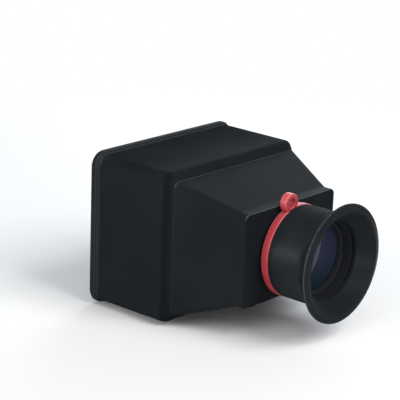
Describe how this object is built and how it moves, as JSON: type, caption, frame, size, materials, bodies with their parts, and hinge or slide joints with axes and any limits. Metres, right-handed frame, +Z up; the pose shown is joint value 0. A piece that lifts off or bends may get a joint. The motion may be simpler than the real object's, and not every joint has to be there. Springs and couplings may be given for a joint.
{
  "type": "lcd viewfinder loupe",
  "caption": "Stepped rectangular hood on a magnetic screen frame, with a lens tube, turning lanyard ring and flared rubber eyecup.",
  "frame": {"origin": "centre of the screen frame's adhesive face, on the optical axis, where it sticks round the camera's screen", "axes": "-Y along the optical axis from the screen to the eye, +Z up, +X to the right as the eye looks in along +Y"},
  "size_m": [0.0782, 0.0931, 0.0612],
  "materials": {
    "foam_tape": "matt black foam",
    "black_painted_steel": "satin black paint",
    "black_plastic": "satin moulded black",
    "coated_glass": "polished, violet coating",
    "coral_red_plastic": "satin coral red",
    "black_rubber": "matt black rubber",
    "nickel_plate": "nickel plate",
    "blackened_steel": "blackened"
  },
  "bodies": {
    "frame_body": {"adhesive_tape": "foam_tape", "screen_frame": "black_painted_steel"},
    "loupe_body": {"light_seal": "foam_tape", "magnet_carrier": "black_plastic", "magnet_top_1": "nickel_plate", "magnet_top_2": "nickel_plate", "magnet_top_3": "nickel_plate", "magnet_top_4": "nickel_plate", "magnet_bottom_1": "nickel_plate", "magnet_bottom_2": "nickel_plate", "magnet_bottom_3": "nickel_plate", "magnet_bottom_4": "nickel_plate", "carrier_screw_top_right": "blackened_steel", "carrier_screw_top_left": "blackened_steel", "carrier_screw_bottom_left": "blackened_steel", "carrier_screw_bottom_right": "blackened_steel", "front_housing": "black_plastic", "rear_housing": "black_plastic", "housing_screw_top_right": "blackened_steel", "housing_screw_top_left": "blackened_steel", "housing_screw_bottom_left": "blackened_steel", "housing_screw_bottom_right": "blackened_steel", "eyepiece_tube": "black_plastic", "lock_ring": "black_plastic", "field_lens": "coated_glass", "lens_spacer": "black_plastic", "eye_lens": "coated_glass", "lens_retaining_ring": "black_plastic"},
    "lanyard_ring_body": {"lanyard_ring": "coral_red_plastic"},
    "eyecup_body": {"eyecup": "black_rubber"}
  },
  "joints": [
    {"name": "loupe_release", "type": "slide", "parent": "frame_body", "child": "loupe_body", "axis": [0, -1, 0], "range_m": [0, 0.02]},
    {"name": "lanyard_ring_turn", "type": "hinge", "parent": "loupe_body", "child": "lanyard_ring_body", "pos_m": [0, -0.07, 0], "axis": [0, -1, 0], "continuous": true},
    {"name": "eyecup_pull_off", "type": "slide", "parent": "loupe_body", "child": "eyecup_body", "axis": [0, -1, 0], "range_m": [0, 0.014]}
  ]
}
